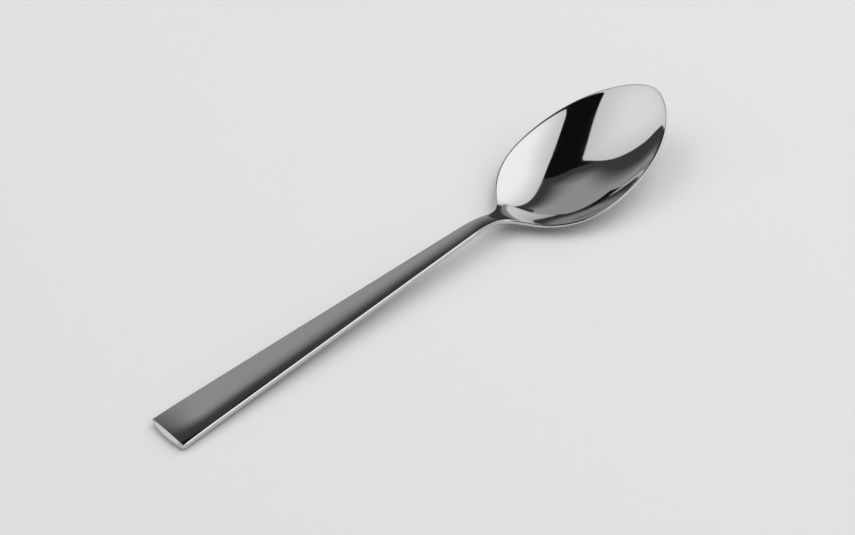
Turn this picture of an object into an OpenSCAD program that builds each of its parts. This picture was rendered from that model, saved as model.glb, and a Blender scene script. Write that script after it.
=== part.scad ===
// Teaspoon in polished stainless steel, formed in one piece from one blank.
// It lies on a table, on the belly of its bowl and the end of its handle.
// X runs from the handle's end to the bowl's tip, Y across, Z up from the table.
// The origin is at table height, in the middle of the spoon's length and width.

/* [Handle] */
// Length of the handle, from the middle of its end to the neck
handle_length = 89.9; // [75:0.1:115]
// Width of the handle at its end
handle_end_w = 10.4; // [8:0.1:14]
// Width of the neck, where the handle is narrowest
neck_w = 3.4; // [2.8:0.1:5]
// Thickness of the handle along its long edges, at its end
handle_end_t = 1.9; // [1.5:0.05:2.6]
// Thickness of the neck along its edges
neck_t = 1.75; // [1.5:0.05:2.6]
// Rise of the crowned top face above its long edges, for a handle as wide as its end
crown_h = 0.33; // [0.05:0.01:0.5]
// Length over which that crown flattens towards the handle's end
crown_fade_l = 23; // [12:1:35]
// Height of the handle's top edge above the table where it turns down to the bowl
shoulder_h = 6.2; // [4.5:0.1:9]
// Distance from that turn to the neck
shoulder_l = 7; // [5:0.2:9]

/* [Handle end and edges] */
// How far the arc of the end stands out past the straight end of the top face
end_bulge = 0.7; // [0.4:0.05:1.4]
// Height that the flat facet at the end takes off the end face
end_facet_h = 0.48; // [0.2:0.02:0.8]
// Drop of the top face over the last stretch before its straight end
end_roll_h = 0.2; // [0:0.01:0.3]
// Length of that stretch
end_roll_l = 8; // [4:0.5:12]
// Width of the bevel along the handle's long edges, seen from above
bevel_w = 0.3; // [0.1:0.02:0.45]
// Height of that bevel
bevel_h = 0.3; // [0.1:0.02:0.45]
// Radius of the rounded lower edges of the handle
lower_edge_r = 0.6; // [0.2:0.05:0.8]
// Radius in plan of the corners at the handle's end
corner_r = 0.8; // [0.4:0.1:1.2]

/* [Bowl] */
// Length of the bowl's back, from the neck to where it is widest
bowl_back_l = 25; // [22:0.1:30]
// Length of the bowl's front, from where it is widest to the tip
bowl_front_l = 25.1; // [21:0.1:30]
// Width of the bowl over its rim
bowl_w = 30.2; // [26:0.1:34]
// Depth of the bowl below its rim line
bowl_depth = 4.3; // [3.4:0.1:6]
// Thickness of the bowl at its belly
belly_t = 0.8; // [0.7:0.05:1.4]
// Thickness of the rim along its edge
rim_t = 0.6; // [0.6:0.05:0.9]
// Width of the rim's softened top edge, seen from above
rim_edge_w = 0.3; // [0.15:0.05:0.5]
// Height of that softened edge
rim_edge_h = 0.25; // [0.1:0.01:0.3]
// Radius of the rim's lower edge
rim_lower_r = 0.2; // [0.1:0.02:0.25]
// Distance from the neck to the heel, where the rim line is lowest
heel_l = 8.1; // [7:0.1:11]
// Rise of the rim line from the heel to the tip
rim_rise = 10.93; // [8:0.01:14]
// Length over which the edge thins from the neck to the rim
thinning_l = 13; // [10:0.5:18]
// Depth of the small worn flats that the spoon rests on
rest_flat_depth = 0.06; // [0.03:0.01:0.1]

/* [Hidden] */

// Shape of the outline: handles of its two curves, as shares of the bowl's back, front and half width
neck_pull_share = 0.27;
back_pull_share = 0.71;
front_pull_share = 0.705;
tip_pull_share = 0.302;
// Shape of the rim line: handles of its two curves, as shares of the lengths that they run along
shoulder_pull_share = 1;
heel_back_pull_share = 0.49;
heel_front_pull_share = 0.09;
tip_back_pull_share = 0.34;
// Rise of the rim line at the tip, per unit of length
tip_slope_share = 0.434;
// Exponent that makes the bowl's bottom flatter and its wall steeper than a plain paraboloid
fullness_share = 1.25;
// Exponents that make the bowl's depth grow more slowly from the neck, and fade sooner towards the tip
back_depth_share = 1.25;
front_depth_share = 1.4;
// Exponent that keeps the middle of the crown flat, and the part of the crown that is left at the end
crown_fullness_share = 2.2;
crown_end_share = 0.5;
// Part of the bevel that is left at the corners of the end
bevel_start_share = 0.75;
// Part of the end's reach that its corners have, and the exponent that thins the facet before them
corner_reach_share = 0.2;
facet_corner_share = 6;
// Part of the lower rounding's radius at the middle of its arc
arc_mid_share = 1 - sqrt(0.5);
// Part of the lower rounding that the end face takes
end_round_share = 0.5;

// How finely the surface is divided
across_n = 21;
handle_n = 13;
roll_n = 4;
corner_n = 3;
curve_n = 16;
profile_n = 24;

spoon_l = handle_length + bowl_back_l + bowl_front_l;
neck_x = handle_length;
widest_x = neck_x + bowl_back_l;
shoulder_x = neck_x - shoulder_l;
heel_x = neck_x + heel_l;
overrun = belly_t;

function mix(a, b, s) = a + (b - a) * s;
function clamp(s) = max(0, min(1, s));
function ease(s) = clamp(s) * clamp(s) * (3 - 2 * clamp(s));
function bezier(a, b, c, d, s) =
    a * pow(1 - s, 3) + 3 * b * s * pow(1 - s, 2) + 3 * c * pow(s, 2) * (1 - s) + d * pow(s, 3);

// Outline of the spoon in plan, as points of length along it and half width

handle_slope = (neck_w - handle_end_w) / 2 / (handle_length - end_bulge);
neck_pull = neck_pull_share * bowl_back_l;

function back_point(s) = bezier(
    [neck_x, neck_w / 2],
    [neck_x + neck_pull, neck_w / 2 + handle_slope * neck_pull],
    [widest_x - back_pull_share * bowl_back_l, bowl_w / 2],
    [widest_x, bowl_w / 2],
    s);

function front_point(s) = bezier(
    [widest_x, bowl_w / 2],
    [widest_x + front_pull_share * bowl_front_l, bowl_w / 2],
    [spoon_l, tip_pull_share * bowl_w / 2],
    [spoon_l, 0],
    s);

function handle_point(x) = [x, handle_end_w / 2 + handle_slope * (x - end_bulge)];

corner_points = [for (k = [0 : corner_n - 1]) handle_point(end_bulge + corner_r * k / corner_n)];
roll_points = [
    for (k = [0 : roll_n - 1])
        handle_point(end_bulge + mix(corner_r, end_roll_l, k / roll_n))
];
handle_points = [
    for (k = [0 : handle_n - 1])
        handle_point(mix(neck_x, end_bulge + end_roll_l, pow(1 - k / handle_n, 2)))
];
back_points = [for (k = [0 : curve_n - 1]) back_point(k / curve_n)];
front_points = [for (k = [0 : curve_n - 1]) front_point(k / curve_n)];
outline = concat(corner_points, roll_points, handle_points, back_points, front_points);
station_n = len(outline);

// Line of the top edge seen from the side: up the handle, down to the heel, up to the tip

shoulder_slope = (shoulder_h - handle_end_t) / (shoulder_x - end_bulge);
shoulder_pull = shoulder_pull_share * shoulder_l;
heel_back_pull = heel_back_pull_share * heel_l;
heel_front_pull = heel_front_pull_share * (spoon_l - heel_x);
tip_back_pull = tip_back_pull_share * (spoon_l - heel_x);

// Heights of the rim above its lowest point, the heel
rim_line = [
    for (k = [0 : profile_n])
        bezier(
            [heel_x, 0],
            [heel_x + heel_front_pull, 0],
            [spoon_l - tip_back_pull, rim_rise - tip_slope_share * tip_back_pull],
            [spoon_l, rim_rise],
            k / profile_n)
];

// Share of the full depth that the bowl has at a half width w and a place u across it
function flare(w) = clamp((pow(w, 2) - pow(neck_w / 2, 2)) / (pow(bowl_w / 2, 2) - pow(neck_w / 2, 2)));
function swell(x, w) =
    x <= neck_x ? 0 :
    x < widest_x ? pow(flare(w), back_depth_share) :
    pow(w / (bowl_w / 2), 2 * front_depth_share);
function depth_share(x, w, u) =
    1 - pow(1 - clamp(swell(x, w)) * (1 - pow(u, 2)), fullness_share);

// The end's roll takes its height off the top edge, and the underside stays straight
function end_roll(x) = end_roll_h * pow(clamp(1 - (x - end_bulge) / end_roll_l), 2);
function edge_t(x) =
    x < neck_x
        ? mix(handle_end_t, neck_t, (x - end_bulge) / (neck_x - end_bulge)) - end_roll(x)
        : mix(neck_t, rim_t, ease((x - neck_x) / thinning_l));

// The rim is set at the height at which the bowl's belly just meets the table
rim_outline = concat(back_points, front_points);
belly_lows = [
    for (p = rim_outline)
        if (p.x >= heel_x)
            lookup(p.x, rim_line)
                - mix(edge_t(p.x), bowl_depth + belly_t, depth_share(p.x, p.y, 0))
];
heel_h = -rest_flat_depth - min(belly_lows);

shoulder_line = [
    for (k = [0 : profile_n])
        bezier(
            [shoulder_x, shoulder_h],
            [shoulder_x + shoulder_pull, shoulder_h + shoulder_slope * shoulder_pull],
            [heel_x - heel_back_pull, heel_h],
            [heel_x, heel_h],
            k / profile_n)
];

function edge_z(x) =
    x < shoulder_x
        ? mix(handle_end_t - rest_flat_depth, shoulder_h, (x - end_bulge) / (shoulder_x - end_bulge))
            - end_roll(x)
        : x < heel_x ? lookup(x, shoulder_line) : heel_h + lookup(x, rim_line);

// Sections: each ring goes over the top face, down one edge, back below, and up the other edge

function normal(k) =
    let (
        before = outline[max(0, k - 1)],
        after = k == station_n - 1 ? [spoon_l, 0] : outline[k + 1],
        along = (after - before) / norm(after - before)
    )
    [-along.y, along.x];

function rim_mix(x) = ease((x - neck_x) / thinning_l);
function corner_mix(x) =
    let (s = clamp((x - end_bulge) / corner_r))
    mix(bevel_start_share, 1, sqrt(1 - pow(1 - s, 2)));
function edge_w(x) = mix(bevel_w, rim_edge_w, rim_mix(x));
function edge_h(x) = mix(bevel_h, rim_edge_h, rim_mix(x)) * corner_mix(x);
function lower_r(x) = mix(lower_edge_r, rim_lower_r, rim_mix(x));
function crown_mix(x) =
    (1 - ease((x - shoulder_x) / (heel_x - shoulder_x)))
        * mix(1, crown_end_share, pow(clamp(1 - (x - end_bulge) / crown_fade_l), 2));
function crown(x, w, u) =
    crown_h * w / (handle_end_w / 2) * crown_mix(x) * (1 - pow(abs(u), crown_fullness_share));

// A point of the outline drawn in square to it by a width
function inset(k, width) = outline[k] - normal(k) * width;
// The corner's rounding draws the outer edge in towards the top face's own corner
function corner_in(x) = edge_w(x) * (1 - corner_mix(x));

across = [for (j = [0 : across_n - 1]) -1 + 2 * j / (across_n - 1)];

function top_points(k) =
    let (x = outline[k].x, w = outline[k].y, p = inset(k, edge_w(x)))
    [
        for (u = across)
            [p.x, u * p.y, edge_z(x) + crown(x, w, u) - bowl_depth * depth_share(x, w, u)]
    ];

function under_points(k) =
    let (x = outline[k].x, w = outline[k].y, p = inset(k, corner_in(x) + lower_r(x)))
    [
        for (u = across)
            [
                p.x - (k == 0 ? end_round_share * end_reach(u) : 0),
                -u * p.y,
                edge_z(x) - mix(edge_t(x), bowl_depth + belly_t, depth_share(x, w, u))
            ]
    ];

function edge_points(k, side) =
    let (
        x = outline[k].x,
        top = edge_z(x),
        low = top - edge_t(x),
        r = lower_r(x),
        a = inset(k, corner_in(x)),
        b = inset(k, corner_in(x) + arc_mid_share * r)
    )
    [
        [a.x, side * a.y, top - edge_h(x)],
        [a.x, side * a.y, low + r],
        [b.x, side * b.y, low + arc_mid_share * r]
    ];

function flipped(points) = [for (j = [len(points) - 1 : -1 : 0]) points[j]];

function ring(k) = concat(
    top_points(k),
    edge_points(k, 1),
    under_points(k),
    flipped(edge_points(k, -1)));

edge_n = 3;
ring_n = 2 * (across_n + edge_n);

// The tip, where each line of the rings comes to one point

tip_z = heel_h + rim_rise;
tip_points = [
    [spoon_l - rim_edge_w, 0, tip_z],
    [spoon_l, 0, tip_z - rim_edge_h],
    [spoon_l, 0, tip_z - rim_t + rim_lower_r],
    [spoon_l - arc_mid_share * rim_lower_r, 0, tip_z - rim_t + arc_mid_share * rim_lower_r],
    [spoon_l - rim_lower_r, 0, tip_z - rim_t]
];
tip_start = station_n * ring_n;
function tip_index(i) =
    tip_start + (
        i < across_n ? 0 :
        i < across_n + edge_n ? i - across_n + 1 :
        i < 2 * across_n + edge_n ? edge_n + 1 :
        ring_n - i);

// The handle's end: a flat facet below the straight end of the top face, then the curved end face

end_start = tip_start + len(tip_points);
function end_reach(u) = end_bulge * mix(1, corner_reach_share, pow(u, 2));
function end_half_w() = inset(0, corner_in(end_bulge)).y;
function facet_drop(u) =
    end_facet_h * (1 - pow(u, 2)) + edge_h(end_bulge) * pow(abs(u), facet_corner_share);
facet_points = [
    for (j = [1 : across_n - 2])
        let (u = across[j])
        [
            end_bulge - end_reach(u),
            u * end_half_w(),
            edge_z(end_bulge) - facet_drop(u)
        ]
];
foot_points = [
    for (j = [1 : across_n - 2])
        let (u = across[j])
        [
            end_bulge - end_reach(u),
            u * end_half_w(),
            edge_z(end_bulge) - edge_t(end_bulge) + lower_r(end_bulge)
        ]
];

last = across_n - 1;
function facet_index(j) =
    j == 0 ? ring_n - 1 : j == last ? across_n : end_start + j - 1;
function foot_index(j) =
    j == 0 ? ring_n - 2 : j == last ? across_n + 1 : end_start + len(facet_points) + j - 1;
function under_index(j) = across_n + edge_n + last - j;

// Faces, all as triangles

function quad(a, b, c, d) = [[a, b, c], [a, c, d]];
function index(k, i) = k * ring_n + i % ring_n;

skin_faces = [
    for (k = [0 : station_n - 2], i = [0 : ring_n - 1])
        each quad(index(k, i), index(k, i + 1), index(k + 1, i + 1), index(k + 1, i))
];
last_ring = station_n - 1;
tip_faces = [
    for (i = [0 : ring_n - 1])
        let (a = tip_index(i), b = tip_index((i + 1) % ring_n))
        each a == b
            ? [[index(last_ring, i), index(last_ring, i + 1), a]]
            : quad(index(last_ring, i), index(last_ring, i + 1), b, a)
];
end_faces = [
    for (j = [0 : last - 1])
        each concat(
            quad(j + 1, j, facet_index(j), facet_index(j + 1)),
            quad(facet_index(j + 1), facet_index(j), foot_index(j), foot_index(j + 1)),
            quad(foot_index(j + 1), foot_index(j), under_index(j), under_index(j + 1)))
];
end_corner_faces = [
    [foot_index(0), ring_n - edge_n, under_index(0)],
    [foot_index(last), under_index(last), across_n + edge_n - 1]
];

module formed_blank() {
    polyhedron(
        points = concat(
            [for (k = [0 : station_n - 1]) each ring(k)],
            tip_points,
            facet_points,
            foot_points),
        faces = concat(skin_faces, tip_faces, end_faces, end_corner_faces));
}

module teaspoon() {
    color([0.66, 0.66, 0.67])
    translate([-spoon_l / 2, 0, 0])
    difference() {
        formed_blank();
        translate([-overrun, -bowl_w / 2 - overrun, -shoulder_h])
            cube([spoon_l + 2 * overrun, bowl_w + 2 * overrun, shoulder_h]);
    }
}

teaspoon();
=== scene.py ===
# %% [markdown]
# # A polished teaspoon
# This notebook dresses one teaspoon. The real one is a single piece of stainless steel: a flat blank is
# cut out, its edges are bevelled, a press gives it the bowl and the bent neck, and then all of it is
# polished to a mirror. The cells follow roughly that order. A spoon could also be carved from a box
# with a subdivision surface, but a mirror shows every dent of such a surface, so here each point is
# placed by smooth curves, and operators make the mesh.

import math

import bmesh
import bpy
import numpy as np
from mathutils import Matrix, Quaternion, Vector


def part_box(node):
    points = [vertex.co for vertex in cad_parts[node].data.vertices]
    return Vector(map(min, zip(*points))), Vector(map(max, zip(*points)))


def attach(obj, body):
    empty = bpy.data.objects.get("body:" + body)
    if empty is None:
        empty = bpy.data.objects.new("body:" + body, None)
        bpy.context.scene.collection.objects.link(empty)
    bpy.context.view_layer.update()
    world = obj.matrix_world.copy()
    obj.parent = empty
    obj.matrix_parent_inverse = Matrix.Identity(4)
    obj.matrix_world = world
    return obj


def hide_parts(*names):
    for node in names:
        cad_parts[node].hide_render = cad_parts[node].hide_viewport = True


MILLIMETRE = 0.001

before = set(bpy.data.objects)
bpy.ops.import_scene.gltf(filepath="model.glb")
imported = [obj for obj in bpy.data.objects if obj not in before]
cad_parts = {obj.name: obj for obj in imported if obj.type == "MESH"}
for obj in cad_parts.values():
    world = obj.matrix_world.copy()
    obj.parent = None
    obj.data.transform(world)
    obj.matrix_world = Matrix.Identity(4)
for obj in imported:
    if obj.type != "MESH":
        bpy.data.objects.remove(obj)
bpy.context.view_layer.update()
box_low, box_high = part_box("teaspoon")
print("CAD box in mm:", [round(side / MILLIMETRE, 2) for side in box_high - box_low])

# %% [markdown]
# ## Sizes
# The length of the spoon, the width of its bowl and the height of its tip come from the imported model,
# so they can't drift from it. All other sizes are the spoon's own, in millimetres, and each is named
# where it is first needed. They match the construction, apart from four fine details that only the
# mirror shows: the bevel is smaller, the lower edge is rounder, the crown gets flatter towards the
# neck, and the rim has an inner lip. Places along the spoon are counted from the handle's end, and
# moved to the shared frame when the blank is formed.

# %% Length and main places
SPOON_LENGTH = (box_high.x - box_low.x) / MILLIMETRE
HALF_BOWL = (box_high.y - box_low.y) / MILLIMETRE / 2
TIP_HEIGHT = box_high.z / MILLIMETRE
HANDLE_LENGTH, BOWL_BACK = 89.9, 25
SHOULDER_LENGTH, HEEL_LENGTH = 7, 8.1

NECK_X = HANDLE_LENGTH
WIDEST_X = NECK_X + BOWL_BACK
SHOULDER_X = NECK_X - SHOULDER_LENGTH
HEEL_X = NECK_X + HEEL_LENGTH
BOWL_FRONT = SPOON_LENGTH - WIDEST_X
print("shoulder, neck, heel and widest place in mm:", SHOULDER_X, NECK_X, HEEL_X, WIDEST_X)

# %% [markdown]
# ## The outline of the blank
# Seen from above, one half of the outline is a straight tapering line and two curves: the flare from
# the neck to the widest place, and the egg's front from there to the tip. Where such pieces meet, their
# curvature jumps, and a mirror would show the jump as a kink. So the finished line is blurred a little
# along its length, which rounds each jump, and the far half is added first so that the blur stays true
# at the tip.

# %% Curves and smoothing
CURVE_POINTS, CURVE_STEP = 200, 0.1
BELL_REACH = 4


def bezier(a, b, c, d, count=CURVE_POINTS):
    """Points of a cubic curve from a to d, with b and c as its handles."""
    s = np.linspace(0, 1, count)[:, None]
    a, b, c, d = (np.array(p, float) for p in (a, b, c, d))
    return a * (1 - s) ** 3 + 3 * b * s * (1 - s) ** 2 + 3 * c * s**2 * (1 - s) + d * s**3


def ease(share):
    """A smooth step from 0 to 1."""
    share = np.clip(share, 0, 1)
    return share * share * (3 - 2 * share)


def mix(a, b, share):
    """A value a share of the way from a to b."""
    return a + (b - a) * share


def distances_along(points):
    """How far along its line each point lies."""
    return np.concatenate([[0], np.cumsum(np.linalg.norm(np.diff(points, axis=0), axis=1))])


def even_steps(points, step=CURVE_STEP):
    """The same line with points at even distances along it."""
    along = distances_along(points)
    places = np.linspace(0, along[-1], int(along[-1] / step) + 1)
    return np.stack([np.interp(places, along, points[:, k]) for k in range(points.shape[1])], -1)


def blurred(values, width, step=CURVE_STEP):
    """Values along a line, averaged over a bell curve of this width. The ends keep place and slope."""
    reach = int(BELL_REACH * width / step)
    bell = np.exp(-0.5 * (np.arange(-reach, reach + 1) * step / width) ** 2)
    padded = np.pad(values, reach, mode="reflect", reflect_type="odd")
    return np.convolve(padded, bell / bell.sum(), mode="valid")


# %% [markdown]
# The pulls say how far the handles of a curve reach, as shares of the length or the half width that it
# spans. A longer handle keeps the curve near the direction of its end for longer.

# %% Outline seen from above
END_WIDTH, NECK_WIDTH = 10.4, 3.4
HALF_END, HALF_NECK = END_WIDTH / 2, NECK_WIDTH / 2
END_BULGE = 0.7
NECK_PULL, BACK_PULL = 0.27, 0.71
FRONT_PULL, TIP_PULL = 0.705, 0.302
OUTLINE_BLUR = 0.9

taper = (HALF_NECK - HALF_END) / (NECK_X - END_BULGE)
neck_reach = NECK_PULL * BOWL_BACK
handle_line = np.array([[END_BULGE, HALF_END], [NECK_X, HALF_NECK]])
flare_curve = bezier(
    (NECK_X, HALF_NECK),
    (NECK_X + neck_reach, HALF_NECK + taper * neck_reach),
    (WIDEST_X - BACK_PULL * BOWL_BACK, HALF_BOWL),
    (WIDEST_X, HALF_BOWL),
)
front_curve = bezier(
    (WIDEST_X, HALF_BOWL),
    (WIDEST_X + FRONT_PULL * BOWL_FRONT, HALF_BOWL),
    (SPOON_LENGTH, TIP_PULL * HALF_BOWL),
    (SPOON_LENGTH, 0),
)
half_outline = np.concatenate([handle_line, flare_curve[1:], front_curve[1:]])
far_half = half_outline[-2::-1] * (1, -1)
whole_outline = even_steps(np.concatenate([half_outline, far_half]))
whole_outline = np.stack([blurred(whole_outline[:, k], OUTLINE_BLUR) for k in (0, 1)], -1)
print("points round the whole outline:", len(whole_outline))

# %% [markdown]
# The blur draws the tip and the widest place in by a hair, so the near half is stretched back to its
# true size.

# %% Half the outline at its true size
half_count = (len(whole_outline) + 1) // 2
smooth_outline = whole_outline[:half_count]
smooth_outline[-1, 1] = 0
tip_stretch = (SPOON_LENGTH - END_BULGE) / (smooth_outline[-1, 0] - END_BULGE)
smooth_outline[:, 0] = END_BULGE + (smooth_outline[:, 0] - END_BULGE) * tip_stretch
smooth_outline[:, 1] *= HALF_BOWL / smooth_outline[:, 1].max()
print("points in half:", len(smooth_outline), "widest:", round(2 * smooth_outline[:, 1].max(), 2), "mm")

# %% [markdown]
# ## The line of the rim
# Seen from the side, the top edge climbs the handle, turns down over the shoulder into the heel of the
# bowl, and climbs again to the tip. It is another pair of curves, blurred in the same way.

# %% Rim line seen from the side
END_THICKNESS, SHOULDER_HEIGHT = 1.9, 6.2
RIM_RISE = 10.93
HEEL_BACK_PULL, HEEL_FRONT_PULL, TIP_BACK_PULL = 0.49, 0.09, 0.34
TIP_SLOPE = 0.434
RIM_LINE_BLUR = 1.5

heel_height = TIP_HEIGHT - RIM_RISE
shoulder_slope = (SHOULDER_HEIGHT - END_THICKNESS) / (SHOULDER_X - END_BULGE)
heel_to_tip = SPOON_LENGTH - HEEL_X
shoulder_curve = bezier(
    (SHOULDER_X, SHOULDER_HEIGHT),
    (SHOULDER_X + SHOULDER_LENGTH, SHOULDER_HEIGHT + shoulder_slope * SHOULDER_LENGTH),
    (HEEL_X - HEEL_BACK_PULL * HEEL_LENGTH, heel_height),
    (HEEL_X, heel_height),
)
rising_curve = bezier(
    (HEEL_X, heel_height),
    (HEEL_X + HEEL_FRONT_PULL * heel_to_tip, heel_height),
    (SPOON_LENGTH - TIP_BACK_PULL * heel_to_tip, TIP_HEIGHT - TIP_SLOPE * TIP_BACK_PULL * heel_to_tip),
    (SPOON_LENGTH, TIP_HEIGHT),
)
side_line = np.concatenate([[[END_BULGE, END_THICKNESS]], shoulder_curve, rising_curve[1:]])
side_x = np.arange(END_BULGE, SPOON_LENGTH + CURVE_STEP, CURVE_STEP)
side_z = blurred(np.interp(side_x, side_line[:, 0], side_line[:, 1]), RIM_LINE_BLUR)
print("heel height:", round(heel_height, 2), "mm, highest:", round(side_z.max(), 2), "mm")

# %% [markdown]
# ## Rows across the spoon
# The mesh is a net of rows across the spoon and columns along it. Few rows are needed on the straight
# handle, and many where the bowl curves, because a mirror shows the flat faces of a coarse net. The
# rows crowd at the end of the handle too, where the top face rolls over.

# %% Where the rows lie
END_ROWS = [0, 0.06, 0.15, 0.3, 0.5, 0.8, 1.2, 1.7, 2.4, 3.2, 4.2, 5.4, 6.8, 8.5]
HANDLE_STEP, BOWL_STEP = 2.4, 0.42
HALF_COLUMNS, WALL_ROWS = 28, 13

along = distances_along(smooth_outline)
bend_start = np.interp(SHOULDER_X - SHOULDER_LENGTH, smooth_outline[:, 0], along)
handle_count = int((bend_start - END_ROWS[-1]) / HANDLE_STEP) + 1
handle_places = np.linspace(END_ROWS[-1], bend_start, handle_count)
bowl_places = np.linspace(bend_start, along[-1], int((along[-1] - bend_start) / BOWL_STEP) + 1)
row_places = np.concatenate([END_ROWS[:-1], handle_places[:-1], bowl_places])
row_x = np.interp(row_places, along, smooth_outline[:, 0])
row_half = np.interp(row_places, along, smooth_outline[:, 1])
row_half[-1] = 0
ROWS = len(row_places) - 1
print("rows:", ROWS, "columns:", 2 * HALF_COLUMNS, "rows in the edge:", WALL_ROWS)

# %% [markdown]
# ## The blank as a slab of simple coordinates
# `create_grid` makes the top sheet, and `extrude_face_region` gives it a thickness and a wall all
# round. The wall is then cut into the rows that the bevel, the side face and the rounded lower edge
# need. Each vertex of this slab has simple coordinates: x is its row, y its column from -1 to 1, and z
# its depth from 0 at the top to -1.


# %% Make the slab
def make_slab(rows, columns, wall_rows):
    """A flat slab with this many rows and columns of faces, and this many cuts round its wall."""
    slab = bmesh.new()
    bmesh.ops.create_grid(slab, x_segments=rows, y_segments=columns, size=1)
    bmesh.ops.translate(slab, verts=slab.verts, vec=(1, 0, 0))
    bmesh.ops.scale(slab, verts=slab.verts, vec=(rows / 2, 1, 1))
    extruded = bmesh.ops.extrude_face_region(slab, geom=slab.faces[:], use_keep_orig=True)
    lower = [g for g in extruded["geom"] if isinstance(g, bmesh.types.BMVert)]
    bmesh.ops.translate(slab, verts=lower, vec=(0, 0, -1))
    upright = [e for e in slab.edges if abs(e.verts[0].co.z - e.verts[1].co.z) > 0.5]
    bmesh.ops.subdivide_edges(slab, edges=upright, cuts=wall_rows)
    return slab


slab = make_slab(ROWS, 2 * HALF_COLUMNS, WALL_ROWS)
print("slab:", len(slab.verts), "vertices,", len(slab.faces), "faces")

# %% [markdown]
# ## What each row of the spoon looks like
# Arrays hold one value for every row. The first ones give the height and thickness of the edge, the
# bevel and the rounding below. The bevel of the handle runs on into the rounded top of the rim, and
# `rim_share` says how far a row has got on that way. At its end the handle rolls down a little and its
# bevel gets finer.

# %% Height, thickness and edge of each row
NECK_THICKNESS, RIM_THICKNESS, THINNING_LENGTH = 1.75, 0.6, 13
ROLL_HEIGHT, ROLL_LENGTH = 0.2, 8
BEVEL_WIDTH, BEVEL_HEIGHT = 0.2, 0.22
RIM_EDGE_WIDTH, RIM_EDGE_HEIGHT = 0.3, 0.25
LOWER_EDGE_RADIUS, RIM_LOWER_RADIUS = 1.1, 0.2
CORNER_RADIUS, CORNER_BEVEL_SHARE = 0.8, 0.75

from_end = row_x - END_BULGE
rim_share = ease((row_x - NECK_X) / THINNING_LENGTH)
end_roll = ROLL_HEIGHT * np.clip(1 - from_end / ROLL_LENGTH, 0, 1) ** 2
row_top = np.interp(row_x, side_x, side_z) - end_roll
handle_thickness = mix(END_THICKNESS, NECK_THICKNESS, from_end / (NECK_X - END_BULGE))
row_thickness = mix(handle_thickness, RIM_THICKNESS, rim_share) - end_roll

corner_way = np.clip(from_end / CORNER_RADIUS, 0, 1)
corner_share = mix(CORNER_BEVEL_SHARE, 1, np.sqrt(1 - (1 - corner_way) ** 2))
row_bevel_width = mix(BEVEL_WIDTH, RIM_EDGE_WIDTH, rim_share) * corner_share
row_bevel_height = mix(BEVEL_HEIGHT, RIM_EDGE_HEIGHT, rim_share) * corner_share
row_lower_radius = mix(LOWER_EDGE_RADIUS, RIM_LOWER_RADIUS, rim_share)
print("edge thickness:", round(row_thickness.min(), 2), "to", round(row_thickness.max(), 2), "mm")

# %% [markdown]
# The top face of the handle is crowned like a pillow. The crown is highest in the wide part of the
# handle, sinks towards its end and towards the neck, and is gone at the heel of the bowl. Beyond the
# neck the bowl swells instead: `row_swell` is the share of the bowl's depth that the row's middle has
# reached.

# %% Crown and swell of each row
CROWN_HEIGHT = 0.33
CROWN_END_SHARE, CROWN_FADE_LENGTH = 0.5, 23
CROWN_NECK_SHARE, CROWN_NECK_LENGTH = 0.55, 30
BACK_SWELL_POWER, FRONT_SWELL_POWER = 1.25, 1.4

to_end = np.clip(1 - from_end / CROWN_FADE_LENGTH, 0, 1)
to_neck = ease((row_x - NECK_X + CROWN_NECK_LENGTH) / CROWN_NECK_LENGTH)
crown_fade = 1 - ease((row_x - SHOULDER_X) / (HEEL_X - SHOULDER_X))
crown_fade *= mix(1, CROWN_END_SHARE, to_end**2)
crown_fade *= mix(1, CROWN_NECK_SHARE, to_neck)
row_crown = CROWN_HEIGHT * row_half / HALF_END * crown_fade

flare = np.clip((row_half**2 - HALF_NECK**2) / (HALF_BOWL**2 - HALF_NECK**2), 0, 1)
front_swell = (row_half / HALF_BOWL) ** (2 * FRONT_SWELL_POWER)
row_swell = np.where(row_x < WIDEST_X, flare**BACK_SWELL_POWER, front_swell)
row_swell = np.where(row_x < NECK_X, 0, row_swell)
print("highest crown:", round(row_crown.max(), 2), "mm, largest swell:", round(row_swell.max(), 2))

# %% [markdown]
# The wall stands out at a right angle to the outline, so each row needs the direction that is outwards
# for it. On the handle that is straight sideways. A mirrored row is added beyond the tip, so that the
# outline has its true direction there.

# %% Which way is outwards in each row
mirrored_x = np.append(row_x, row_x[-2])
mirrored_half = np.append(row_half, -row_half[-2])
tangent = np.stack([np.gradient(mirrored_x), np.gradient(mirrored_half)], -1)[: ROWS + 1]
tangent /= np.linalg.norm(tangent, axis=1)[:, None]
out_x, out_y = -tangent[:, 1], tangent[:, 0]
on_handle = row_x < SHOULDER_X
out_x[on_handle], out_y[on_handle] = 0, 1
out_x[-1], out_y[-1] = 1, 0
print("rows on the straight handle:", int(on_handle.sum()))

# %% [markdown]
# ## The inner lip of the rim
# The rim of a real spoon isn't a sharp line between the edge and the bowl. Polishing leaves a narrow
# rounded lip: the surface leaves the edge level and then turns down into the wall of the bowl. It is
# narrow at the heel and wide at the tip. It could be a bevel on one ring of edges, but its width
# changes along the rim, so it has some columns of the net to itself. Its width is measured across the
# spoon, so it grows where the rim turns away, up to a limit near the tip.

# %% Inner lip of each row
HEEL_LIP, SIDE_LIP, TIP_LIP = 0.15, 0.42, 0.7
LEAST_TURN = 0.3

lip_width = np.interp(row_x, (HEEL_X, WIDEST_X, SPOON_LENGTH), (HEEL_LIP, SIDE_LIP, TIP_LIP))
row_lip = lip_width * rim_share / np.maximum(out_y, LEAST_TURN)
print("lip measured across the spoon: up to", round(row_lip.max(), 2), "mm")

# %% [markdown]
# On the handle the columns are spread evenly, with one just inside the edge that keeps it crisp. In the
# bowl the last few columns before the edge belong to the lip, and the others share the dish evenly.
# `SOFTNESS` is the distance of such a helping line from its edge, here and on the bevel.

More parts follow.
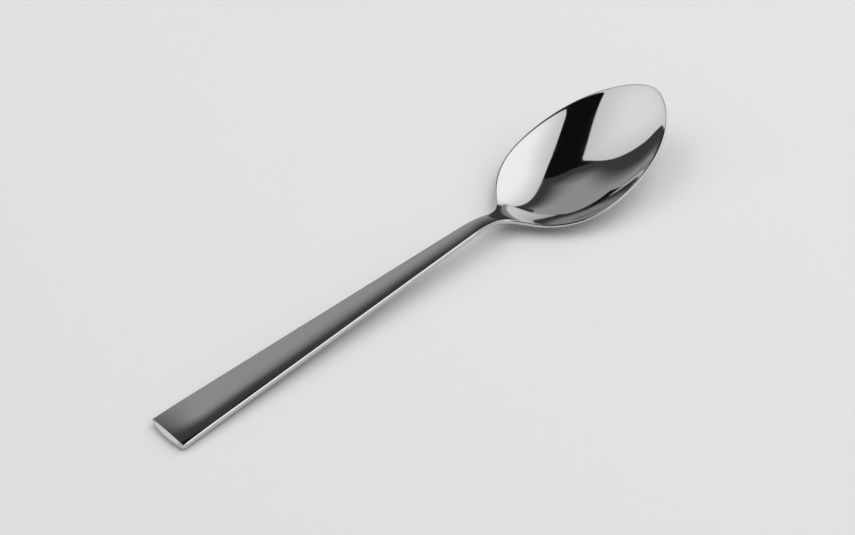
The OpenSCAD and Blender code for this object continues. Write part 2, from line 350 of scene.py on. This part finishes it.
# %% Shares across the spoon
LIP_COLUMNS, LARGEST_LIP_SHARE = 5, 0.5
SOFTNESS = 0.06
TINY = 1e-9


def shares_across(step, half_width, row):
    """How far each place is on its way from the middle to the edge, and the share that the lip takes."""
    inner = np.minimum(step, HALF_COLUMNS - 1) / (HALF_COLUMNS - 1)
    inner_width = np.maximum(half_width - SOFTNESS, half_width / 2)
    narrow = inner * inner_width / np.maximum(half_width, TINY)
    lip = np.minimum(row_lip[row] / np.maximum(half_width, TINY), LARGEST_LIP_SHARE)
    dish_columns = HALF_COLUMNS - LIP_COLUMNS
    on_lip = np.clip((step - dish_columns) / LIP_COLUMNS, 0, 1)
    wide = np.minimum(step / dish_columns, 1) * (1 - lip) + on_lip * lip
    return np.where(step == HALF_COLUMNS, 1, mix(narrow, wide, rim_share[row])), lip


# %% [markdown]
# ## The two sheets
# The press gives the top sheet its crown along the handle and its dish in the bowl. The underside
# follows the same dish a wall's thickness below, but has neither crown nor lip.

# %% Heights of the two sheets
BOWL_DEPTH, BELLY_THICKNESS = 4.3, 0.8
FULLNESS, CROWN_FULLNESS = 1.25, 2.2


def dished(share, row):
    """The share of the bowl's depth that is reached at a share of the way to the edge."""
    return 1 - (1 - row_swell[row] * (1 - share**2)) ** FULLNESS


def sheet_heights(share, lip, row):
    """Heights of the top sheet and of the underside."""
    dish_share = np.minimum(share, 1 - lip) / (1 - lip / 2)
    to_edge = np.where(lip > 0, np.clip((1 - share) / np.maximum(lip, TINY), 0, 1), 1)
    depth = BOWL_DEPTH * (dished(dish_share, row) * to_edge**2)
    top = row_top[row] + row_crown[row] * (1 - share**CROWN_FULLNESS) - depth
    under = row_top[row] - mix(row_thickness[row], BOWL_DEPTH + BELLY_THICKNESS, dished(share, row))
    return top, under


# %% [markdown]
# ## The profile of the edge
# The wall of the slab becomes the edge of the spoon. Counted in levels from the top, levels 0 to 3 are
# the bevel, which turns into a quarter of an ellipse along the rim. Level 4 is just under the top of
# the upright side face, level 5 is its foot, and the others go round the lower edge. The bevel has a
# level just inside each of its two borders, which keeps it flat when the mesh is shaded smooth.

# %% Edge profile
BEVEL_FOOT, SIDE_TOP, SIDE_FOOT = 3, 4, 5
BEVEL_ANGLES = np.radians([0, 30, 60, 90])
LOWER_ANGLES = np.radians(np.linspace(0, 90, WALL_ROWS - SIDE_FOOT + 2))[1:]


def edge_profile(level, row):
    """How far out from the top face's edge and how far below it the wall is, at each of its levels."""
    width, height = row_bevel_width[row], row_bevel_height[row]
    thickness, radius = row_thickness[row], row_lower_radius[row]
    near = np.clip(SOFTNESS / np.hypot(width, height), 0, 0.5)
    out, down = [], []
    for flat, angle in zip((0, near, 1 - near, 1), BEVEL_ANGLES):
        out.append(mix(flat, math.sin(angle), rim_share[row]) * width)
        down.append(mix(flat, 1 - math.cos(angle), rim_share[row]) * height)
    out += [width, width]
    down += [height + SOFTNESS, thickness - radius]
    for angle in LOWER_ANGLES:
        out.append(width - radius * (1 - math.cos(angle)))
        down.append(thickness - radius * (1 - math.sin(angle)))
    which = np.arange(len(row))
    return np.array(out)[level, which], np.array(down)[level, which]


# %% [markdown]
# ## The end of the handle
# The top face ends in a straight line. Below it the end stands out in a shallow arc with rounded
# corners, and one flat facet, ground from the straight line down to the arc, makes the bright lens that
# catches the light.

# %% Shape of the end
END_FACET_HEIGHT, FACET_CORNER_POWER = 0.48, 6
FACET_LEVELS = (0, 0.06, 0.94, 1)
CORNER_REACH, LEAST_CORNER_RADIUS = 0.2, 0.05
UNDER_BLEND, UNDER_ROUNDING = 3.0, 0.5


def facet_share(level):
    """How far a level of the wall lies down the facet."""
    return np.interp(level, range(BEVEL_FOOT + 1), FACET_LEVELS)


def facet_height(share, level):
    """Heights on the end's wall, from the top face over the facet to the top of the side face."""
    drop = END_FACET_HEIGHT * (1 - share**2) + row_bevel_height[0] * share**FACET_CORNER_POWER
    crown = row_crown[0] * (1 - share**CROWN_FULLNESS)
    height = row_top[0] + mix(crown, -drop, facet_share(level))
    return np.where(level == SIDE_TOP, height - SOFTNESS, height)


def end_offset(row, share, level, inset):
    """How far a place of the wall or the underside moves towards the handle's end."""
    reach = END_BULGE * mix(CORNER_REACH, 1, 1 - share**2) * facet_share(level)
    near_end = np.clip(1 - (row_x[row] - END_BULGE) / UNDER_BLEND, 0, 1)
    return np.maximum(reach - UNDER_ROUNDING * inset, 0) * near_end


def rounded_corner(x, y, level, inset):
    """The same place in plan, after the corners of the end are rounded more and more down the bevel."""
    radius = np.maximum(CORNER_RADIUS - inset, LEAST_CORNER_RADIUS) * np.clip((level - 1) / 2, 0, 1)
    start = END_BULGE * (1 - CORNER_REACH)
    half = HALF_END - inset
    across = np.clip((np.abs(y) - (half - radius)) / np.maximum(radius, TINY), 0, 1)
    lengthwise = np.clip((start + inset + radius - x) / np.maximum(radius, TINY), 0, 1)
    pull = radius * (1 - np.cos(math.pi / 4))
    return x + pull * across**2 * (lengthwise > 0), y - np.sign(y) * pull * lengthwise**2 * (across > 0)


# %% [markdown]
# ## Form the blank
# Now every vertex of the slab gets its place. Its simple coordinates tell which row, column and level
# it belongs to, and the functions above say where that is on the spoon. What would go below the table
# is set level with it, which gives the spoon the small flats it rests on. The tip's row shrinks to one
# upright line, so doubles are merged there, and the normals are recalculated after that.


# %% Where each vertex goes
def formed(simple):
    """Places on the spoon, in millimetres, for the slab's simple coordinates."""
    row = np.rint(simple[:, 0]).astype(int)
    step = np.rint(np.abs(simple[:, 1]) * HALF_COLUMNS)
    level = np.rint(-simple[:, 2] * (WALL_ROWS + 1)).astype(int)
    top, under = level == 0, level == WALL_ROWS + 1
    wall = ~top & ~under

    out, down = edge_profile(level, row)
    drawn_in = row_bevel_width[row] - out
    half_width = np.maximum(row_half[row] - out_y[row] * drawn_in, 0)
    half_width[row == ROWS] = 0
    share, lip = shares_across(step, half_width, row)
    x = row_x[row] - out_x[row] * drawn_in
    y = np.sign(simple[:, 1]) * share * half_width
    z_top, z_under = sheet_heights(share, lip, row)
    z = np.where(top, z_top, np.where(under, z_under, row_top[row] - down))
    z = np.where(wall & (row == 0) & (level <= SIDE_TOP), facet_height(share, level), z)

    inset = np.where(level >= SIDE_FOOT, drawn_in, 0)
    x = x - np.where(top, 0, end_offset(row, share, level, inset))
    border = wall | (under & ((step == HALF_COLUMNS) | (row == 0)))
    at_corner = border & (x < END_BULGE + CORNER_RADIUS)
    round_x, round_y = rounded_corner(x, y, level, inset)
    x, y = np.where(at_corner, round_x, x), np.where(at_corner, round_y, y)
    return np.stack([x, y, np.maximum(z, 0)], -1)


# %% Place every vertex
MERGE_DISTANCE = 1e-8

simple_coordinates = np.array([v.co for v in slab.verts])
to_frame = Vector((SPOON_LENGTH / 2 * MILLIMETRE, 0, 0))
for vertex, place in zip(slab.verts, formed(simple_coordinates)):
    vertex.co = Vector(place) * MILLIMETRE - to_frame
bmesh.ops.remove_doubles(slab, verts=slab.verts, dist=MERGE_DISTANCE)
bmesh.ops.recalc_face_normals(slab, faces=slab.faces)
print("formed:", len(slab.verts), "vertices,", round(slab.calc_volume() / MILLIMETRE**3, 1), "cubic mm")
print("open edges:", sum(not e.is_manifold for e in slab.edges))


# %% Make the spoon's object
def object_from(maker, name):
    """Turn a finished bmesh into an object of the scene."""
    mesh = bpy.data.meshes.new(name)
    maker.to_mesh(mesh)
    maker.free()
    made = bpy.data.objects.new(name, mesh)
    bpy.context.scene.collection.objects.link(made)
    return made


spoon = object_from(slab, "teaspoon_body")
spoon.data.shade_smooth()
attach(spoon, "root")
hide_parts("teaspoon")
print("spoon faces:", len(spoon.data.polygons))

# %% [markdown]
# ## Polished steel
# Stainless steel reflects about six tenths of the light and has hardly any colour of its own. A mirror
# finish isn't perfect: the polishing wheel leaves faint hairlines along the spoon, and use dulls it in
# small patches. Both are patterns on Object coordinates, so they stay on the metal. They only change
# the roughness and tilt the surface by a hair, because stronger ones would turn the mirror into brushed
# steel.


# %% Helpers for materials
def new_material(name):
    """A material with its node tree switched on."""
    made = bpy.data.materials.new(name)
    made.use_nodes = True
    return made


def add_node(tree, kind, *sources, **settings):
    """Add a node, give it its settings, and link or set its inputs in order. Returns its outputs."""
    made = tree.nodes.new("ShaderNode" + kind)
    for name, value in settings.items():
        setattr(made, name, value)
    for socket, source in zip(made.inputs, sources):
        if isinstance(source, bpy.types.NodeSocket):
            tree.links.new(source, socket)
        elif source is not None:
            socket.default_value = source
    return made.outputs


# %% Polished steel
STEEL_GREY = (0.62, 0.62, 0.625)
SMOOTH, DULLED = 0.035, 0.075
PATCH_SCALE, PATCH_DETAIL, PATCH_ROUGHNESS = 90, 3, 0.55
PATCH_START, PATCH_FULL = 0.35, 0.7
HAIRLINE_STRETCH = (0.03, 1, 1)
HAIRLINE_SCALE, HAIRLINE_DETAIL, HAIRLINE_ROUGHNESS = 2500, 2, 0.6
HAIRLINE_STRENGTH, HAIRLINE_HEIGHT = 0.15, 0.0000002

steel = new_material("polished_steel")
steel_tree = steel.node_tree
steel_shader = steel_tree.nodes["Principled BSDF"]
steel_shader.inputs["Base Color"].default_value = (*STEEL_GREY, 1)
steel_shader.inputs["Metallic"].default_value = 1

on_steel = add_node(steel_tree, "TexCoord")["Object"]
patch_noise = (PATCH_SCALE, PATCH_DETAIL, PATCH_ROUGHNESS)
patches = add_node(steel_tree, "TexNoise", on_steel, None, *patch_noise)[0]
dulling = add_node(steel_tree, "MapRange", patches, PATCH_START, PATCH_FULL, SMOOTH, DULLED)[0]
steel_tree.links.new(dulling, steel_shader.inputs["Roughness"])

stretched = add_node(steel_tree, "Mapping", on_steel, None, None, HAIRLINE_STRETCH)[0]
hairline_noise = (HAIRLINE_SCALE, HAIRLINE_DETAIL, HAIRLINE_ROUGHNESS)
hairlines = add_node(steel_tree, "TexNoise", stretched, None, *hairline_noise)[0]
hairline_bump = add_node(steel_tree, "Bump", HAIRLINE_STRENGTH, HAIRLINE_HEIGHT, None, hairlines)[0]
steel_tree.links.new(hairline_bump, steel_shader.inputs["Normal"])
spoon.data.materials.append(steel)
print("steel nodes:", len(steel_tree.nodes))

# %% [markdown]
# ## A pale table
# The table is a big flat sheet of matt paper. Its own colour makes the picture pale, and the lights
# stay plain.

# %% Table
TABLE_REACH = 4
TABLE_GREY = 0.805
PAPER_ROUGHNESS, PAPER_SHEEN = 0.9, 0.2


def grey(level):
    """A grey as red, green, blue and alpha."""
    return (level, level, level, 1)


table_maker = bmesh.new()
bmesh.ops.create_grid(table_maker, x_segments=1, y_segments=1, size=TABLE_REACH)
table = object_from(table_maker, "table")

paper = new_material("paper")
paper_shader = paper.node_tree.nodes["Principled BSDF"]
paper_shader.inputs["Base Color"].default_value = grey(TABLE_GREY)
paper_shader.inputs["Roughness"].default_value = PAPER_ROUGHNESS
paper_shader.inputs["Specular IOR Level"].default_value = PAPER_SHEEN
table.data.materials.append(paper)
print("table:", 2 * TABLE_REACH, "m wide")

# %% [markdown]
# ## Light from all round
# An even grey world gives some light from every side. The Standard view shows a colour about as it is
# written.

# %% World
WORLD_LEVEL = 0.5

world = bpy.data.worlds.new("studio")
world.use_nodes = True
world.node_tree.nodes["Background"].inputs["Color"].default_value = grey(WORLD_LEVEL)
bpy.context.scene.world = world
bpy.context.scene.view_settings.view_transform = "Standard"
print("world level:", WORLD_LEVEL)

# %% [markdown]
# ## Cards for the mirror
# A mirror shows nothing but its surroundings, so they matter more than the metal. Photographers hang
# cards around polished cutlery: two softboxes give the white areas, a black card between them gives the
# dark stripe across the bowl, and a grey wall behind gives the handle its tone. These large cards hang
# flat, a metre above the table, because a flat card looks the same in a mirror as a tilted one in the
# same direction. Their corners are places in metres on that ceiling, found by following the reflections
# in the bowl back to it, and their levels by comparing renders. A card that covers part of another
# hangs a little lower.

# %% A card on the ceiling
CEILING = 1.0
ROUNDING_STEPS = 8


def stage_piece(name, maker):
    """Make a bmesh a piece that the mirror sees and the camera doesn't. Returns its empty node tree."""
    made = object_from(maker, name)
    made.visible_camera = False
    material = new_material(name)
    material.node_tree.nodes.clear()
    made.data.materials.append(material)
    return material.node_tree


def card(name, corners, drop=0.0, roundings=()):
    """A flat card that hangs below the ceiling by a small drop, with some of its corners rounded."""
    maker = bmesh.new()
    points = [maker.verts.new((x, y, CEILING - drop)) for x, y in corners]
    bmesh.ops.contextual_create(maker, geom=points)
    for point, rounding in zip(points, roundings):
        bmesh.ops.bevel(
            maker,
            geom=[point],
            offset=rounding,
            segments=ROUNDING_STEPS,
            profile=0.5,
            affect="VERTICES",
            material=-1,
        )
    print(name, "hangs at", CEILING - drop, "m")
    return stage_piece(name, maker)


# %% Light of a card
def glow(tree, strength):
    """Make a piece shine evenly, or with the strength that a socket gives."""
    light = add_node(tree, "Emission", grey(1), strength)[0]
    add_node(tree, "OutputMaterial", light)


def calculated(tree, operation, *values):
    """The result of a Math node."""
    return add_node(tree, "Math", *values, operation=operation)[0]


def faded(tree, value, limits, dark=0, bright=1):
    """A level that grows smoothly from dark to bright while a value passes between two limits."""
    return add_node(tree, "MapRange", value, *limits, dark, bright, interpolation_type="SMOOTHSTEP")[0]


def edge_distance(tree, place, start, end):
    """How far a place lies to the left of the line from start to end."""
    along = Vector(end) - Vector(start)
    normal = Vector((-along.y, along.x)).normalized()
    offset = add_node(tree, "VectorMath", place, (*start, 0), operation="SUBTRACT")[0]
    outputs = add_node(tree, "VectorMath", offset, (*normal, 0), operation="DOT_PRODUCT")
    return outputs["Value"]


# %% [markdown]
# ## Softboxes
# The cloth of a real softbox is brightest in front of its lamp and dimmer towards its frame. Each box
# fades towards the two edges that can be seen in the spoon, and the corners between them are rounded.

# %% Softboxes
LEFT_BOX = [(-0.165, 1.68), (0.129, 0.488), (-0.357, 0.0), (-1.45, 0.6)]
RIGHT_BOX = [(0.333, 0.272), (-0.16, -0.412), (0.5, -1.6), (5.0, -0.6), (5.0, 2.819)]
LEFT_ROUNDINGS, RIGHT_ROUNDINGS = (0.12, 0.04, 0.03), (0.25, 0.12)
BOX_EDGE_LEVEL, LEFT_BOX_LEVEL, RIGHT_BOX_LEVEL = 0.85, 1.08, 1.34
BOX_FADE, BOX_DROP = (-0.05, 0.42), 0.02


def softbox(name, corners, roundings, edges, level):
    """A softbox, brightest in its middle and dimmer towards the edges that the mirror shows."""
    tree = card(name, corners, BOX_DROP, roundings)
    place = add_node(tree, "TexCoord")["Object"]
    distances = [edge_distance(tree, place, start, end) for start, end in edges]
    nearest = calculated(tree, "MINIMUM", *distances)
    glow(tree, faded(tree, nearest, BOX_FADE, BOX_EDGE_LEVEL, level))


left_edges = [(LEFT_BOX[2], LEFT_BOX[1]), (LEFT_BOX[1], LEFT_BOX[0])]
softbox("left_softbox", LEFT_BOX, LEFT_ROUNDINGS, left_edges, LEFT_BOX_LEVEL)
right_edges = [(RIGHT_BOX[4], RIGHT_BOX[0]), (RIGHT_BOX[0], RIGHT_BOX[1])]
softbox("right_softbox", RIGHT_BOX, RIGHT_ROUNDINGS, right_edges, RIGHT_BOX_LEVEL)

# %% Black card
BLACK_CARD = [(-0.2, 0.935), (-1.6, -0.6), (-0.4, -1.8), (0.8, -0.022)]
BLACK_LEVEL = 0.006

glow(card("black_card", BLACK_CARD), BLACK_LEVEL)

# %% [markdown]
# ## The grey wall
# One even grey would make the handle flat and dull, so the wall is shaded. It is dark beside the right
# softbox and beside the black card, and it gets lighter to the right and towards the horizon.

# %% Grey wall
WALL_CARD = [(-3.5, 4.09), (0.8, -0.022), (5.0, 1.5), (5.0, 5.0), (-3.5, 5.0)]
WALL_DARK, WALL_BRIGHT = 0.06, 0.4
SIDE_FADE, SIDE_SPREAD = (0.175, 0.475), 0.045
HORIZON_FADE, BESIDE_BOX_FADE, BESIDE_BLACK_FADE = (2.2, 5.2), (0.1, 0.44), (0.05, 0.2)

wall = card("grey_wall", WALL_CARD)
on_wall = add_node(wall, "TexCoord")["Object"]
wall_x, wall_y = add_node(wall, "SeparateXYZ", on_wall)[:2]
flat_place = add_node(wall, "CombineXYZ", wall_x, wall_y, 0)[0]
away = add_node(wall, "VectorMath", flat_place, operation="LENGTH")["Value"]
sideways = calculated(wall, "DIVIDE", wall_x, wall_y)
to_right = calculated(wall, "MULTIPLY_ADD", away, SIDE_SPREAD, sideways)
from_box = edge_distance(wall, on_wall, RIGHT_BOX[0], RIGHT_BOX[4])
from_black = edge_distance(wall, on_wall, WALL_CARD[0], WALL_CARD[1])

side_light = faded(wall, to_right, SIDE_FADE)
side_light = calculated(wall, "MAXIMUM", side_light, faded(wall, away, HORIZON_FADE))
wall_light = calculated(wall, "MULTIPLY", side_light, faded(wall, from_box, BESIDE_BOX_FADE))
wall_light = calculated(wall, "MULTIPLY", wall_light, faded(wall, from_black, BESIDE_BLACK_FADE))
glow(wall, add_node(wall, "MapRange", wall_light, 0, 1, WALL_DARK, WALL_BRIGHT)[0])
print("wall nodes:", len(wall.nodes))

# %% [markdown]
# ## Standing cards
# The steep places of the spoon look almost level across the table. A black card stands on it behind the
# bowl and gives the dark streak in its near wall. A small dark one further right keeps the bend of the
# neck dark.


# %% Standing cards behind the spoon
def lit_stage_piece(name, maker, level):
    """A piece of the stage that shines evenly."""
    glow(stage_piece(name, maker), level)


def standing_card(name, ends, level):
    """An upright card between two ends. Each has its place on the table, its lower and upper height."""
    maker = bmesh.new()
    left, right = ([maker.verts.new((x, y, z)) for z in heights] for x, y, *heights in ends)
    bmesh.ops.contextual_create(maker, geom=[*left, *reversed(right)])
    lit_stage_piece(name, maker, level)
    print(name, "stands from", [end[2:] for end in ends], "m")


LOW_CARD = [(1.34, 1.49, 0, 0.42), (0.68, 1.88, 0, 0.62)]
NECK_CARD = [(1.72, 1.01, 0.37, 0.66), (1.6, 1.2, 0.37, 0.66)]
NECK_CARD_LEVEL = 0.05

standing_card("low_card", LOW_CARD, BLACK_LEVEL)
standing_card("neck_card", NECK_CARD, NECK_CARD_LEVEL)

# %% [markdown]
# The slanted facet at the handle's end looks the other way, up to the left. A white card there gives it
# its bright lens.

# %% White card for the handle's end
END_CARD = [(-1.2, 0.9), (-1.2, 1.7), (-2.3, 1.9), (-2.3, 0.9)]
END_CARD_LEVEL, END_CARD_DROP = 0.9, 0.03

glow(card("end_card", END_CARD, END_CARD_DROP), END_CARD_LEVEL)

# %% [markdown]
# ## A curtain round the studio
# The side faces of the handle and the steepest parts of the rim would see the bright world below the
# cards. A low grey curtain all round covers it, a little darker than the world.

# %% Grey curtain
CURTAIN_RADIUS, CURTAIN_HEIGHT, CURTAIN_LEVEL = 3.0, 0.57, 0.3
CURTAIN_SIDES = 96

curtain_maker = bmesh.new()
bmesh.ops.create_circle(curtain_maker, segments=CURTAIN_SIDES, radius=CURTAIN_RADIUS)
raised = bmesh.ops.extrude_edge_only(curtain_maker, edges=curtain_maker.edges[:])
upper_ring = [g for g in raised["geom"] if isinstance(g, bmesh.types.BMVert)]
bmesh.ops.translate(curtain_maker, verts=upper_ring, vec=(0, 0, CURTAIN_HEIGHT))
lit_stage_piece("grey_curtain", curtain_maker, CURTAIN_LEVEL)
print("curtain:", CURTAIN_HEIGHT, "m high")

# %% [markdown]
# ## Key light
# One large lamp overhead lights the paper and gives the spoon its soft shadow. It hangs just below the
# cards, so that they don't shade it, and it is hidden from the mirror, which already sees the softboxes
# in its place.

# %% Key light
KEY_PLACE, KEY_SIZE, KEY_POWER = Vector((-0.02, 0.02, 0.95)), 1.3, 4.7

key_light = bpy.data.lights.new("key_light", "AREA")
key_light.size, key_light.energy = KEY_SIZE, KEY_POWER
key = bpy.data.objects.new("key_light", key_light)
key.location = KEY_PLACE
key.rotation_euler = (-KEY_PLACE).to_track_quat("-Z", "Y").to_euler()
key.visible_glossy = False
bpy.context.scene.collection.objects.link(key)
print("key light:", KEY_SIZE, "m wide,", KEY_POWER, "W")

# %% [markdown]
# ## The camera
# The photograph's camera was worked out from the two long edges of the spoon, which mirror each other.
# It looks down from beside the handle, turned towards the bowl and tipped a little. Its aim and
# distance are in millimetres like the spoon's sizes, and its focal length is in pixels of the
# photograph.

# %% Camera
IMAGE_WIDTH, FOCAL_PIXELS, SENSOR = 855, 2400, 36
CAMERA_TILT, CAMERA_TURN, CAMERA_ROLL = math.radians(42.502), math.radians(41.179), math.radians(-1.256)
CAMERA_DISTANCE, AIM = 517.18, Vector((2.583, 2.161, 0))
NEAREST_SEEN = 0.01

ahead = Vector((math.sin(CAMERA_TURN), math.cos(CAMERA_TURN), 0))
look = ahead * math.cos(CAMERA_TILT) - Vector((0, 0, math.sin(CAMERA_TILT)))
camera_data = bpy.data.cameras.new("camera")
camera_data.sensor_width = SENSOR
camera_data.lens = FOCAL_PIXELS * SENSOR / IMAGE_WIDTH
camera_data.clip_start = NEAREST_SEEN
camera = bpy.data.objects.new("camera", camera_data)
camera.location = (AIM - look * CAMERA_DISTANCE) * MILLIMETRE
untipped = look.to_track_quat("-Z", "Y")
camera.rotation_euler = (untipped @ Quaternion((0, 0, 1), CAMERA_ROLL)).to_euler()
bpy.context.scene.collection.objects.link(camera)
bpy.context.scene.camera = camera
print("camera at", [round(c, 3) for c in camera.location], "m, lens", round(camera_data.lens, 1), "mm")
